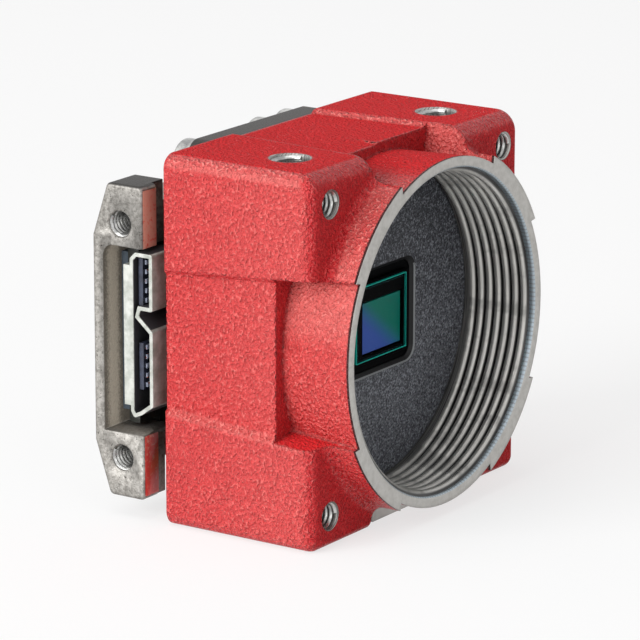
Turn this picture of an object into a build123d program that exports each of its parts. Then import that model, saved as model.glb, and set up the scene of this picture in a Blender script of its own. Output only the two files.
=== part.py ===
from build123d import *
import os

os.makedirs("parts", exist_ok=True)

# Machine vision camera, open housing, millimetres.
# X runs to the right seen from the front, the lens side faces -Y, Z is up.
# The origin is under the middle of the whole camera, on the surface it stands on.
# A depth is measured backwards from the lens ring, a height from the optical axis.

# Die-cast front housing
block_depth = 13.5
barrel_reach = 2.65
lobe_wall = 1.42
waist_wall = 0.85
waist_draft = 0.25
corner_margin = 0.38
flare_radius = 1.0
side_edge_radius = 1.1
front_edge_radius = 0.8
brow_radius = 1.7
rear_edge_break = 0.15

# Recessed bands and pockets in its four sides
band_recess = 0.36
band_half_width = 5.25
band_spread = 0.07
pocket_back_depth = 6.1
pocket_wall_draft = 0.16
step_fall = 0.2
step_length = 2.7
step_width = 5.2
step_right = 0.6
pad_half_width = 4.8
pad_front_depth = 3.6
pad_length = 9.0
pad_root = 1.5

# Lens bore, which sets the size of the housing, and the wall behind it
bore_radius = 12.7
bore_chamfer = 0.12
plate_face_depth = 6.9
plate_thickness = 0.9
plate_ledge = 0.3
plate_play = 0.1
wall_thickness = 1.6
cavity_wall = 2.1
cavity_corner_radius = 0.5

# Threaded holes of the housing
front_hole_inset = 2.5
front_hole_radius = 1.0
front_hole_depth = 3.1
side_hole_inset = 4.5
side_hole_radius = 1.5
side_hole_from_rear = 8.5
side_hole_depth = 4.0
countersink_width = 0.12

# Rear frame
frame_gap = 1.95
frame_depth = 4.7
frame_top_margin = 0.6
frame_bottom_margin = 1.8
frame_right_inset = 1.1
frame_right_wall = 1.5
frame_taper_depth = 1.4
frame_taper_height = 4.2
frame_edge_radius = 0.45
frame_rim_radius = 0.25
frame_wall = 0.9
frame_ledge_wall = 1.8
lug_width = 4.3
lug_strip_width = 1.85
lug_strip_step = 0.45
upper_lug_height = 4.8
lower_lug_height = 5.1
gap_reach = 7.0
gap_corner_radius = 1.0
opening_left_ledge = 4.2
opening_side_ledge = 1.9
opening_ledge = 2.6
opening_corner_radius = 1.0
rail_reach_left = 11.1
rail_reach_right = 5.8
rail_rise = 2.0
rail_end_radius = 1.3
lock_hole_spacing = 18.4
lock_hole_radius = 1.0
lock_hole_depth = 3.6
lock_hole_from_front = 2.1

# Screws and spacers that hold the frame
screw_row_height = 11.1
screw_column_left = -3.0
screw_column_middle = 6.5
screw_radius = 0.95
screw_head_radius = 1.8
screw_head_height = 1.5
screw_head_edge = 0.3
screw_socket_width = 1.3
screw_socket_depth = 0.8
screw_grip = 4.0
screw_clearance = 0.1
boss_half_width = 2.1
spacer_radius = 1.7
head_room = 0.5

# Sensor behind its window
window_width = 11.2
window_height = 7.2
window_round = 0.7
window_chamfer = 0.15
package_recess = 0.3
seal_width = 0.2
seal_play = 0.04
wall_window_play = 0.25
lid_side_margin = 0.4
lid_top_margin = 0.5
lid_thickness = 0.4
die_margin = 0.9
die_drop = 0.55
die_thickness = 0.3
die_gap = 0.1

# Circuit boards
board_clearance = 0.3
sensor_board_thickness = 1.2
board_gap = 3.0
processing_board_thickness = 1.0
interface_board_thickness = 1.0
board_corner_radius = 0.8
board_tongue_reach = 2.2
board_screw_side_inset = 1.7
board_screw_top_inset = 1.8
board_screw_radius = 0.7
board_screw_head_radius = 1.3
board_screw_head_height = 0.7
board_screw_grip = 1.2
inner_spacer_radius = 1.3
interface_screw_right_inset = 3.3
interface_screw_left_inset = 4.4
interface_screw_top_inset = 1.1

# Board connectors and parts
connector_length = 12.0
connector_width = 3.2
connector_height = 6.2
connector_blade_width = 1.2
connector_blade_reach = 1.0
connector_play = 0.1
processor_size = 9.0
processor_height = 1.1
memory_size = 5.0
memory_height = 0.8
controller_size = 6.0
controller_height = 0.9
pad_play = 0.4
capacitor_length = 1.6
capacitor_width = 0.8
capacitor_height = 0.8
capacitor_inset = 3.0
coil_size = 2.6
coil_height = 1.2
header_width = 9.4
header_height = 3.4
header_depth = 1.6
header_wall = 0.4
header_foot_margin = 0.3
pin_count = 7
pin_pitch = 1.0
pin_size = 0.3

# Upright double socket at the left edge of the interface board
socket_rise = 2.7
socket_length = 5.6
socket_set_back = 0.15
socket_top = 6.55
socket_bottom = 6.45
socket_slant = 0.5
socket_cant = 1.1
socket_split = 2.1
socket_split_width = 1.6
socket_notch = 1.15
socket_round = 0.22
socket_sheet = 0.3
socket_base_thickness = 0.6
socket_base_half = 5.5
blade_thickness = 0.4
blade_lift = 0.2
blade_set_back = 0.45
blade_margin = 0.35
contact_count = 5
contact_width = 0.35
contact_pitch = 0.74
contact_thickness = 0.12
contact_set_back = 0.75
upper_contacts = 4.22
lower_contacts = -2.42
insulator_depth = 1.4
insulator_play = 0.03

# Places that follow from the sizes
overall_depth = barrel_reach + block_depth + frame_gap + frame_depth
lobe_radius = bore_radius + lobe_wall
waist_radius = bore_radius + waist_wall
plate_seat_radius = bore_radius - plate_ledge
half = lobe_radius + corner_margin
body_size = 2 * half
axis_height = half
front_hole_spacing = body_size - 2 * front_hole_inset
side_hole_spacing = body_size - 2 * side_hole_inset
cavity_half = half - cavity_wall
front_y = -overall_depth / 2
rear_depth = barrel_reach + block_depth
seat_depth = plate_face_depth + plate_thickness
cavity_depth = seat_depth + wall_thickness
frame_front_depth = rear_depth + frame_gap
ledge_depth = overall_depth - frame_ledge_wall
interface_front_depth = ledge_depth - interface_board_thickness
board_half_width = cavity_half - board_clearance
pocket_half_height = screw_row_height - boss_half_width
board_half_height = pocket_half_height - board_clearance
sensor_board_rear = cavity_depth + sensor_board_thickness
processing_front = sensor_board_rear + board_gap
processing_rear = processing_front + processing_board_thickness
lug_inner_x = lug_width - half
frame_right = half - frame_right_inset
frame_top = screw_row_height + frame_top_margin
frame_bottom = screw_row_height + frame_bottom_margin
gap_top = frame_top - upper_lug_height
gap_bottom = frame_bottom - lower_lug_height
board_left = lug_inner_x + board_clearance
board_right = frame_right - frame_right_wall - board_clearance
opening_left = lug_inner_x + opening_left_ledge
opening_right = frame_right - frame_right_wall - opening_side_ledge
opening_middle = (opening_left + opening_right) / 2
opening_half_height = pocket_half_height - opening_ledge
header_z = header_height / 2 + header_foot_margin - opening_half_height
optical_axis = Axis((0, 0, axis_height), (0, 1, 0))
cut_margin = 1.0

screw_column_right = cavity_half - boss_half_width
upper_columns = (screw_column_left, screw_column_middle, screw_column_right)
lower_columns = (screw_column_left, screw_column_right)
frame_screw_places = [(x, screw_row_height) for x in upper_columns]
frame_screw_places += [(x, -screw_row_height) for x in lower_columns]
board_screw_x = board_half_width - board_screw_side_inset
board_screw_z = board_half_height - board_screw_top_inset
board_screw_places = [
    (x, z) for x in (-board_screw_x, board_screw_x) for z in (-board_screw_z, board_screw_z)
]
interface_screw_z = board_half_height - interface_screw_top_inset
interface_screw_right = board_right - interface_screw_right_inset
interface_screw_left = board_left + interface_screw_left_inset
interface_screw_places = [
    (interface_screw_right, interface_screw_z),
    (interface_screw_right, -interface_screw_z),
    (interface_screw_left, -interface_screw_z),
]


def across(depth):
    """Plane that faces the front at a depth, X to its right and Z up."""
    return Plane(origin=(0, front_y + depth, axis_height), x_dir=(1, 0, 0), z_dir=(0, -1, 0))


def along(x):
    """Plane that faces the right at a place across the camera, depth to its right and Z up."""
    return Plane(origin=(x, front_y, axis_height), x_dir=(0, 1, 0), z_dir=(1, 0, 0))


def topside(depth):
    """Plane on the top face of the housing, facing up."""
    return Plane(origin=(0, front_y + depth, body_size), x_dir=(1, 0, 0), z_dir=(0, 0, 1))


def underside(depth):
    """Plane on the bottom face of the housing, facing down."""
    return Plane(origin=(0, front_y + depth, 0), x_dir=(1, 0, 0), z_dir=(0, 0, -1))


def leftside(depth, height):
    """Plane on the left face, facing left."""
    return Plane(origin=(-half, front_y + depth, axis_height + height), x_dir=(0, 1, 0), z_dir=(-1, 0, 0))


def finish(builder, name):
    builder.part.label = name
    export_step(builder.part, f"parts/{name}.step")


def trapezoid(low, high, half_width_at_face, slope):
    """Section of a band or pocket: its sides lean outwards from the low to the high line."""
    foot = half_width_at_face - (half - low) * slope
    top = half_width_at_face + (high - half) * slope
    return [(-foot, low), (foot, low), (top, high), (-top, high)]


def half_width_at(depth):
    """Half width of a band at the housing's face: it widens towards the lens."""
    return band_half_width + band_recess + (rear_depth - depth) * band_spread


# Cutters for one side of the housing, turned to all four
with BuildPart() as band_cutter:
    for depth in (rear_depth + cut_margin, pocket_back_depth):
        with BuildSketch(across(depth)):
            Polygon(
                *trapezoid(half - band_recess, half + cut_margin, half_width_at(depth), 1), align=None
            )
    loft()

waist_profile = [
    (-cut_margin, 0),
    (-cut_margin, waist_radius),
    (0, waist_radius),
    (pocket_back_depth, waist_radius - waist_draft),
    (pocket_back_depth, 0),
]
with BuildPart() as pocket_cutter:
    for depth in (pocket_back_depth, -cut_margin):
        with BuildSketch(across(depth)):
            Polygon(
                *trapezoid(bore_radius / 2, half + cut_margin, half_width_at(depth), pocket_wall_draft),
                align=None,
            )
    loft()
    with BuildSketch(along(0)):
        Polygon(*waist_profile, align=None)
    revolve(axis=optical_axis, mode=Mode.SUBTRACT)

# Front housing: one casting with a stepped lens ring, four banded sides and an open back
flare_depth = barrel_reach - flare_radius
flare_rim = lobe_radius + flare_radius
lobe_seat = barrel_reach + cut_margin
band_face = half - band_recess
side_hole_row = rear_depth - side_hole_from_rear
package_width = window_width - 2 * seal_width
package_height = window_height - 2 * seal_width
lid_width = package_width - 2 * lid_side_margin
lid_height = package_height - 2 * lid_top_margin
die_width = lid_width - 2 * die_margin
die_height = lid_height - 2 * die_margin
with BuildPart() as front_housing:
    with BuildSketch(across(rear_depth)):
        Rectangle(body_size, body_size)
    extrude(amount=block_depth)
    fillet(front_housing.edges().filter_by(Axis.X).group_by(Axis.Y)[0].sort_by(Axis.Z)[-1], brow_radius)
    fillet(front_housing.edges().filter_by(Axis.Y), side_edge_radius)
    front_sides = front_housing.edges().filter_by(Axis.Z).group_by(Axis.Y)[0]
    front_foot = front_housing.edges().filter_by(Axis.X).group_by(Axis.Y)[0].sort_by(Axis.Z)[0]
    fillet(front_sides + [front_foot], front_edge_radius)
    chamfer(front_housing.faces().sort_by(Axis.Y)[-1].edges(), rear_edge_break)
    # lens barrel with a flare where it leaves the block
    with BuildSketch(along(0)):
        with BuildLine():
            Polyline((lobe_seat, 0), (0, 0), (0, lobe_radius), (flare_depth, lobe_radius))
            RadiusArc((flare_depth, lobe_radius), (barrel_reach, flare_rim), -flare_radius)
            Polyline((barrel_reach, flare_rim), (lobe_seat, flare_rim), (lobe_seat, 0))
        make_face()
    revolve(axis=optical_axis)
    # nothing of the flare stands out past the four faces
    with BuildSketch(across(lobe_seat + cut_margin)):
        Rectangle(body_size + 2 * cut_margin, body_size + 2 * cut_margin)
        RectangleRounded(body_size, body_size, side_edge_radius, mode=Mode.SUBTRACT)
    extrude(amount=lobe_seat + 2 * cut_margin, mode=Mode.SUBTRACT)
    for turn in (0, 90, 180, 270):
        add(band_cutter.part.rotate(optical_axis, turn), mode=Mode.SUBTRACT)
        add(pocket_cutter.part.rotate(optical_axis, turn), mode=Mode.SUBTRACT)
    # shallow slanting step in the top band
    with BuildSketch(along(-step_right)):
        step_back = pocket_back_depth + step_length
        step_front = pocket_back_depth - band_recess
        step_line = [(step_back, band_face), (step_front, band_face - step_fall)]
        Polygon(*step_line, (step_front, half), (step_back, half), align=None)
    extrude(amount=-step_width, mode=Mode.SUBTRACT)
    # milled pad under the bottom band
    with BuildSketch(underside(pad_front_depth + pad_length / 2)):
        Rectangle(2 * pad_half_width, pad_length)
    extrude(amount=-pad_root)
    # lens bore with its lead-in, and the seat of the mask plate
    with BuildSketch(along(0)):
        with BuildLine():
            Polyline(
                (0, 0),
                (0, bore_radius + bore_chamfer),
                (bore_chamfer, bore_radius),
                (plate_face_depth, bore_radius),
                (plate_face_depth, plate_seat_radius),
                (seat_depth, plate_seat_radius),
                (seat_depth, 0),
                (0, 0),
            )
        make_face()
    revolve(axis=optical_axis, mode=Mode.SUBTRACT)
    with BuildSketch(across(cavity_depth)):
        RectangleRounded(
            package_width + 2 * wall_window_play, package_height + 2 * wall_window_play, window_round
        )
    extrude(amount=wall_thickness, mode=Mode.SUBTRACT)
    # room for the boards, with a boss for each frame screw
    with BuildSketch(across(rear_depth)):
        RectangleRounded(2 * cavity_half, 2 * cavity_half, cavity_corner_radius)
        with Locations(*frame_screw_places):
            Rectangle(2 * boss_half_width, 2 * boss_half_width, mode=Mode.SUBTRACT)
    extrude(amount=rear_depth - cavity_depth, mode=Mode.SUBTRACT)
    with BuildSketch(across(rear_depth)):
        with Locations(*frame_screw_places):
            Circle(screw_radius + screw_clearance)
    extrude(amount=screw_grip, mode=Mode.SUBTRACT)
    with BuildSketch(across(cavity_depth)):
        with Locations(*board_screw_places):
            Circle(board_screw_radius + screw_clearance)
    extrude(amount=board_screw_grip, mode=Mode.SUBTRACT)
    # threaded holes on the front corners, the top and the bottom
    with Locations(across(barrel_reach)):
        with GridLocations(front_hole_spacing, front_hole_spacing, 2, 2):
            CounterSinkHole(front_hole_radius, front_hole_radius + countersink_width, front_hole_depth, 90)
    for face in (topside(side_hole_row), underside(side_hole_row)):
        with Locations(face):
            with GridLocations(side_hole_spacing, 1, 2, 1):
                CounterSinkHole(side_hole_radius, side_hole_radius + countersink_width, side_hole_depth, 90)
finish(front_housing, "front_housing")

# Mask plate: black disc on the seat of the bore, with a chamfered window for the sensor
with BuildPart() as mask_plate:
    with BuildSketch(across(seat_depth)):
        Circle(plate_seat_radius - plate_play)
        RectangleRounded(window_width, window_height, window_round, mode=Mode.SUBTRACT)
    extrude(amount=plate_thickness)
    window_rim = mask_plate.faces().sort_by(Axis.Y)[0].inner_wires()[0].edges()
    chamfer(window_rim, window_chamfer)
finish(mask_plate, "mask_plate")

# Sensor: dark package, glass lid in its front, die below the lid
package_front = plate_face_depth + package_recess
die_front = package_front + lid_thickness + die_gap
with BuildPart() as sensor_package:
    with BuildSketch(across(cavity_depth)):
        RectangleRounded(package_width, package_height, window_round)
    extrude(amount=cavity_depth - package_front)
    with BuildSketch(across(package_front)):
        Rectangle(lid_width, lid_height)
    extrude(amount=-lid_thickness, mode=Mode.SUBTRACT)
    with BuildSketch(across(package_front)):
        Rectangle(lid_width - 2 * seal_width, lid_height - 2 * seal_width)
    extrude(amount=-(lid_thickness + die_gap + die_thickness), mode=Mode.SUBTRACT)
finish(sensor_package, "sensor_package")

with BuildPart() as sensor_lid:
    with BuildSketch(across(package_front)):
        Rectangle(lid_width, lid_height)
    extrude(amount=-lid_thickness)
finish(sensor_lid, "sensor_lid")

with BuildPart() as sensor_die:
    with BuildSketch(across(die_front)):
        with Locations((0, -die_drop)):
            Rectangle(die_width, die_height)
    extrude(amount=-die_thickness)
finish(sensor_die, "sensor_die")

with BuildPart() as window_seal:
    with BuildSketch(across(seat_depth)):
        RectangleRounded(window_width - 2 * seal_play, window_height - 2 * seal_play, window_round)
        RectangleRounded(
            package_width + 2 * seal_play, package_height + 2 * seal_play, window_round, mode=Mode.SUBTRACT
        )
    extrude(amount=plate_thickness - package_recess - window_chamfer / 2)
finish(window_seal, "window_seal")


def drill_board(places, radius):
    """Clearance holes of a board, inside the builder that is open."""
    with Locations(*places):
        Circle(radius + screw_clearance, mode=Mode.SUBTRACT)


# Sensor board, against the wall of the housing
with BuildPart() as sensor_board:
    with BuildSketch(across(cavity_depth)):
        RectangleRounded(2 * board_half_width, 2 * board_half_height, board_corner_radius)
        drill_board(board_screw_places, board_screw_radius)
    extrude(amount=-sensor_board_thickness)
finish(sensor_board, "sensor_board")

# Processing board, on four spacers behind the sensor board
with BuildPart() as processing_board:
    with BuildSketch(across(processing_front)):
        RectangleRounded(2 * board_half_width, 2 * board_half_height, board_corner_radius)
        drill_board(board_screw_places, board_screw_radius)
    extrude(amount=-processing_board_thickness)
finish(processing_board, "processing_board")

with BuildPart() as inner_spacers:
    with BuildSketch(across(sensor_board_rear)):
        with Locations(*board_screw_places):
            Circle(inner_spacer_radius)
            Circle(board_screw_radius + screw_clearance, mode=Mode.SUBTRACT)
    extrude(amount=-board_gap)
finish(inner_spacers, "inner_spacers")

with BuildPart() as board_screws:
    with BuildSketch(across(processing_rear)):
        with Locations(*board_screw_places):
            Circle(board_screw_radius)
    extrude(amount=processing_rear - cavity_depth + board_screw_grip)
    with BuildSketch(across(processing_rear)):
        with Locations(*board_screw_places):
            Circle(board_screw_head_radius)
    extrude(amount=-board_screw_head_height)
finish(board_screws, "board_screws")


def board_header(front, gap, height):
    """Blade half of a board connector, on the board in front of the gap."""
    with BuildPart() as header:
        with BuildSketch(across(front)):
            with Locations((0, height)):
                Rectangle(connector_length, connector_width)
        extrude(amount=-gap / 2)
        with BuildSketch(across(front + gap / 2)):
            with Locations((0, height)):
                Rectangle(connector_length - connector_width, connector_blade_width)
        extrude(amount=-connector_blade_reach)
    return header


def board_socket(front, gap, height):
    """Slotted half of a board connector, on the board behind the gap."""
    slot_length = connector_length - connector_width + 2 * connector_play
    slot_width = connector_blade_width + 2 * connector_play
    with BuildPart() as socket:
        with BuildSketch(across(front + gap)):
            with Locations((0, height)):
                Rectangle(connector_length, connector_width)
        extrude(amount=gap / 2)
        with BuildSketch(across(front + gap / 2)):
            with Locations((0, height)):
                Rectangle(slot_length, slot_width)
        extrude(amount=-(connector_blade_reach + connector_play), mode=Mode.SUBTRACT)
    return socket


mezzanine_header = board_header(sensor_board_rear, board_gap, -connector_height)
finish(mezzanine_header, "mezzanine_header")

mezzanine_socket = board_socket(sensor_board_rear, board_gap, -connector_height)
finish(mezzanine_socket, "mezzanine_socket")

rear_gap = interface_front_depth - processing_rear
rear_header = board_header(processing_rear, rear_gap, connector_height)
finish(rear_header, "rear_header")

rear_socket = board_socket(processing_rear, rear_gap, connector_height)
finish(rear_socket, "rear_socket")

# Chips on the processing board
with BuildPart() as image_processor:
    with BuildSketch(across(processing_rear)):
        with Locations((0, -connector_width)):
            Rectangle(processor_size, processor_size)
    extrude(amount=-processor_height)
    chamfer(image_processor.faces().sort_by(Axis.Y)[-1].edges(), processor_height / 8)
finish(image_processor, "image_processor")

with BuildPart() as memory_chip:
    with BuildSketch(across(processing_front)):
        with Locations((memory_size / 2, memory_size / 2)):
            Rectangle(memory_size, memory_size)
    extrude(amount=memory_height)
finish(memory_chip, "memory_chip")

# Interface board: its tongue reaches between the two lugs of the frame
tongue_left = lug_inner_x - board_tongue_reach
tongue_top = gap_top - board_clearance
tongue_bottom = gap_bottom - board_clearance
interface_outline = [
    (board_left, board_half_height),
    (board_right, board_half_height),
    (board_right, -board_half_height),
    (board_left, -board_half_height),
    (board_left, -tongue_bottom),
    (tongue_left, -tongue_bottom),
    (tongue_left, tongue_top),
    (board_left, tongue_top),
]
with BuildPart() as interface_board:
    with BuildSketch(across(interface_front_depth)):
        Polygon(*interface_outline, align=None)
        drill_board(interface_screw_places, board_screw_radius)
    extrude(amount=-interface_board_thickness)
finish(interface_board, "interface_board")

with BuildPart() as interface_screws:
    with BuildSketch(across(ledge_depth + board_screw_grip)):
        with Locations(*interface_screw_places):
            Circle(board_screw_radius)
    extrude(amount=interface_board_thickness + board_screw_grip)
    with BuildSketch(across(interface_front_depth)):
        with Locations(*interface_screw_places):
            Circle(board_screw_head_radius)
    extrude(amount=board_screw_head_height)
finish(interface_screws, "interface_screws")

with BuildPart() as interface_controller:
    with BuildSketch(across(interface_front_depth)):
        with Locations((-controller_size / 2, -controller_height)):
            Rectangle(controller_size, controller_size)
    extrude(amount=controller_height)
finish(interface_controller, "interface_controller")

# Parts on the back of the interface board, seen through the opening of the frame
coil_x = opening_right - coil_size
coil_places = [(coil_x, coil_size / 2), (coil_x - coil_size - pad_play, coil_size / 2)]
with BuildPart() as power_coils:
    with BuildSketch(across(ledge_depth)):
        with Locations(*coil_places):
            RectangleRounded(coil_size, coil_size, coil_size / 8)
    extrude(amount=-coil_height)
finish(power_coils, "power_coils")

with BuildPart() as board_capacitors:
    with BuildSketch(across(ledge_depth)):
        with Locations((opening_left + capacitor_inset, connector_width / 2)):
            with GridLocations(2 * capacitor_length, 2 * capacitor_width, 2, 4):
                Rectangle(capacitor_length, capacitor_width)
    extrude(amount=-capacitor_height)
finish(board_capacitors, "board_capacitors")

with BuildPart() as io_header:
    with BuildSketch(across(ledge_depth)):
        with Locations((opening_middle, header_z)):
            Rectangle(header_width, header_height)
    extrude(amount=-header_depth)
    with BuildSketch(across(ledge_depth + header_wall)):
        with Locations((opening_middle, header_z)):
            Rectangle(header_width - 2 * header_wall, header_height - 2 * header_wall)
    extrude(amount=-header_depth, mode=Mode.SUBTRACT)
finish(io_header, "io_header")

with BuildPart() as io_pins:
    with BuildSketch(across(ledge_depth + header_wall)):
        with Locations((opening_middle, header_z)):
            with GridLocations(pin_pitch, 1, pin_count, 1):
                Rectangle(pin_size, pin_size)
    extrude(amount=-(header_depth - 2 * header_wall))
finish(io_pins, "io_pins")

# Thermal pad between the interface board and the wall of the frame
frame_wall_front = overall_depth - frame_wall
with BuildPart() as thermal_pad:
    with BuildSketch(across(ledge_depth)):
        pad_left = tongue_left + pad_play
        pad_right = gap_reach - half - pad_play
        pad_top = tongue_top - 2 * pad_play
        pad_bottom = -tongue_bottom + 2 * pad_play
        with Locations(((pad_left + pad_right) / 2, (pad_top + pad_bottom) / 2)):
            Rectangle(pad_right - pad_left, pad_top - pad_bottom)
    extrude(amount=-(frame_wall_front - ledge_depth))
finish(thermal_pad, "thermal_pad")

# Socket shell: folded sheet with a notch between its two mouths and a flat base on the board
socket_front = interface_front_depth - socket_rise
socket_back = interface_front_depth - socket_base_thickness
socket_mouth_x = socket_set_back - half
split_low = socket_split - socket_split_width
socket_outline = [
    (socket_back, socket_top - socket_slant),
    (socket_back - socket_slant, socket_top),
    (socket_front, socket_top),
    (socket_front, socket_split),
    (socket_front + socket_notch, socket_split),
    (socket_front + socket_notch + socket_sheet / 2, socket_split - socket_slant),
    (socket_front, split_low),
    (socket_front, socket_cant - socket_bottom),
    (socket_front + socket_cant, socket_sheet - socket_bottom),
    (socket_back - socket_sheet, -socket_bottom),
    (socket_back, socket_slant - socket_bottom),
]


def inset_socket_face(inset):
    """Inside of the socket's outline, a distance in from its outer face."""
    with BuildSketch(mode=Mode.PRIVATE) as inside:
        Polygon(*socket_outline, align=None)
        offset(amount=-inset, kind=Kind.INTERSECTION, mode=Mode.REPLACE)
    return inside.sketch


with BuildPart() as socket_shell:
    with BuildSketch(along(socket_mouth_x)) as socket_ring:
        Polygon(*socket_outline, align=None)
        fillet(socket_ring.vertices(), socket_round)
        add(inset_socket_face(socket_sheet), mode=Mode.SUBTRACT)
    extrude(amount=socket_length)
    with BuildSketch(along(socket_mouth_x + socket_length)) as socket_end:
        Polygon(*socket_outline, align=None)
        fillet(socket_end.vertices(), socket_round)
    extrude(amount=-socket_sheet)
    with BuildSketch(along(socket_mouth_x)):
        with Locations((socket_back + socket_base_thickness / 2, 0)):
            Rectangle(socket_base_thickness, 2 * socket_base_half)
    extrude(amount=socket_length)
finish(socket_shell, "socket_shell")

# Insulator: a block at the back of the shell with one blade for each mouth
blade_back = socket_back - socket_sheet - blade_lift
blade_front = blade_back - blade_thickness
insulator_x = socket_mouth_x + socket_length - socket_sheet
blade_half = (contact_count - 1) * contact_pitch / 2 + blade_margin
with BuildPart() as socket_insulator:
    with BuildSketch(along(insulator_x)):
        add(inset_socket_face(socket_sheet + insulator_play))
    extrude(amount=-insulator_depth)
    with BuildSketch(along(insulator_x)):
        with Locations(*[(blade_back - blade_thickness / 2, z) for z in (upper_contacts, lower_contacts)]):
            Rectangle(blade_thickness, 2 * blade_half)
    extrude(amount=-(socket_length - socket_sheet - blade_set_back))
finish(socket_insulator, "socket_insulator")

contact_root_x = insulator_x - insulator_depth
contact_length = contact_root_x - socket_mouth_x - contact_set_back
with BuildPart() as socket_contacts:
    with BuildSketch(along(contact_root_x)):
        with Locations(*[(blade_front - contact_thickness / 2, z) for z in (upper_contacts, lower_contacts)]):
            with GridLocations(1, contact_pitch, 1, contact_count):
                Rectangle(contact_thickness, contact_width)
    extrude(amount=-contact_length)
finish(socket_contacts, "socket_contacts")

# Rear frame: cast ring with two lugs on the left and a raised rail on top
taper_top = frame_top - frame_taper_height
taper_bottom = frame_taper_height - frame_bottom
frame_profile = [
    (frame_front_depth, frame_top),
    (overall_depth - frame_taper_depth, frame_top),
    (overall_depth, taper_top),
    (overall_depth, taper_bottom),
    (overall_depth - frame_taper_depth, -frame_bottom),
    (frame_front_depth, -frame_bottom),
]
lock_hole_middle = (frame_top - frame_bottom) / 2
lock_hole_heights = (lock_hole_middle + lock_hole_spacing / 2, lock_hole_middle - lock_hole_spacing / 2)
rail_left = screw_column_middle - rail_reach_left
rail_right = screw_column_middle + rail_reach_right
rail_top = screw_row_height + rail_rise
head_left = screw_column_left - screw_head_radius - head_room
head_right = screw_column_right + screw_head_radius + head_room
head_low = screw_row_height - screw_head_radius - head_room
with BuildPart() as rear_frame:
    with BuildSketch(along(-half)) as frame_side:
        Polygon(*frame_profile, align=None)
        fillet(frame_side.vertices(), frame_edge_radius)
    extrude(amount=half + frame_right)
    fillet(rear_frame.faces().sort_by(Axis.X)[0].edges(), frame_rim_radius)
    with BuildSketch(across(ledge_depth)) as rail_sketch:
        with Locations(((rail_left + rail_right) / 2, (rail_top + pocket_half_height) / 2)):
            Rectangle(rail_right - rail_left, rail_top - pocket_half_height)
        fillet(rail_sketch.vertices().group_by(Axis.Z)[-1], rail_end_radius)
    extrude(amount=ledge_depth - frame_front_depth)
    # pocket for the interface board and its opening to the back
    with BuildSketch(across(ledge_depth)):
        pocket_right = frame_right - frame_right_wall
        with Locations(((lug_inner_x + pocket_right) / 2, 0)):
            RectangleRounded(pocket_right - lug_inner_x, 2 * pocket_half_height, board_corner_radius / 2)
    extrude(amount=ledge_depth - frame_front_depth, mode=Mode.SUBTRACT)
    with BuildSketch(across(overall_depth)):
        with Locations((opening_middle, 0)):
            RectangleRounded(opening_right - opening_left, 2 * opening_half_height, opening_corner_radius)
    extrude(amount=frame_ledge_wall, mode=Mode.SUBTRACT)
    # gap between the lugs, with rounded inner corners
    with BuildSketch(along(-half)) as gap_sketch:
        gap_profile = [
            (frame_front_depth - cut_margin, gap_top),
            (frame_wall_front, gap_top),
            (frame_wall_front, -gap_bottom),
            (frame_front_depth - cut_margin, -gap_bottom),
        ]
        Polygon(*gap_profile, align=None)
        fillet(gap_sketch.vertices().group_by(Axis.Y)[-1], gap_corner_radius)
    extrude(amount=gap_reach, mode=Mode.SUBTRACT)
    # the lugs stand proud only along their outer strip
    with BuildSketch(along(lug_strip_width - half)):
        with Locations((frame_front_depth, 0)):
            Rectangle(2 * lug_strip_step, 4 * frame_bottom)
    extrude(amount=lug_width - lug_strip_width, mode=Mode.SUBTRACT)
    # room for the screw heads
    with BuildSketch(across(ledge_depth)):
        for side in (1, -1):
            with Locations(((head_left + head_right) / 2, side * (head_low + frame_bottom) / 2)):
                Rectangle(head_right - head_left, frame_bottom - head_low + cut_margin)
    extrude(amount=-(frame_ledge_wall + cut_margin), mode=Mode.SUBTRACT)
    with BuildSketch(across(ledge_depth)):
        with Locations(*frame_screw_places):
            Circle(screw_radius + screw_clearance)
    extrude(amount=ledge_depth - frame_front_depth, mode=Mode.SUBTRACT)
    with BuildSketch(across(ledge_depth)):
        with Locations(*interface_screw_places):
            Circle(board_screw_radius + screw_clearance)
    extrude(amount=-board_screw_grip, mode=Mode.SUBTRACT)
    # threaded holes for the locking screws of a plug
    with Locations(*[leftside(frame_front_depth + lock_hole_from_front, z) for z in lock_hole_heights]):
        CounterSinkHole(lock_hole_radius, lock_hole_radius + countersink_width, lock_hole_depth, 90)
finish(rear_frame, "rear_frame")

# Spacers between housing and frame, and the screws that clamp them
with BuildPart() as frame_spacers:
    with BuildSketch(across(rear_depth)):
        with Locations(*frame_screw_places):
            Circle(spacer_radius)
            Circle(screw_radius + screw_clearance, mode=Mode.SUBTRACT)
    extrude(amount=-frame_gap)
finish(frame_spacers, "frame_spacers")

with BuildPart() as frame_screws:
    with BuildSketch(across(ledge_depth)):
        with Locations(*frame_screw_places):
            Circle(screw_radius)
    extrude(amount=ledge_depth - rear_depth + screw_grip)
    with BuildSketch(across(ledge_depth)):
        with Locations(*frame_screw_places):
            Circle(screw_head_radius)
    extrude(amount=-screw_head_height)
    fillet(frame_screws.faces().filter_by(Axis.Y).group_by(Axis.Y)[-1].edges(), screw_head_edge)
    with BuildSketch(across(ledge_depth + screw_head_height)):
        with Locations(*frame_screw_places):
            RegularPolygon(screw_socket_width / 2, 6)
    extrude(amount=screw_socket_depth, mode=Mode.SUBTRACT)
finish(frame_screws, "frame_screws")
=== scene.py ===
import math

import bmesh
import bpy
from mathutils import Matrix, Vector


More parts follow.
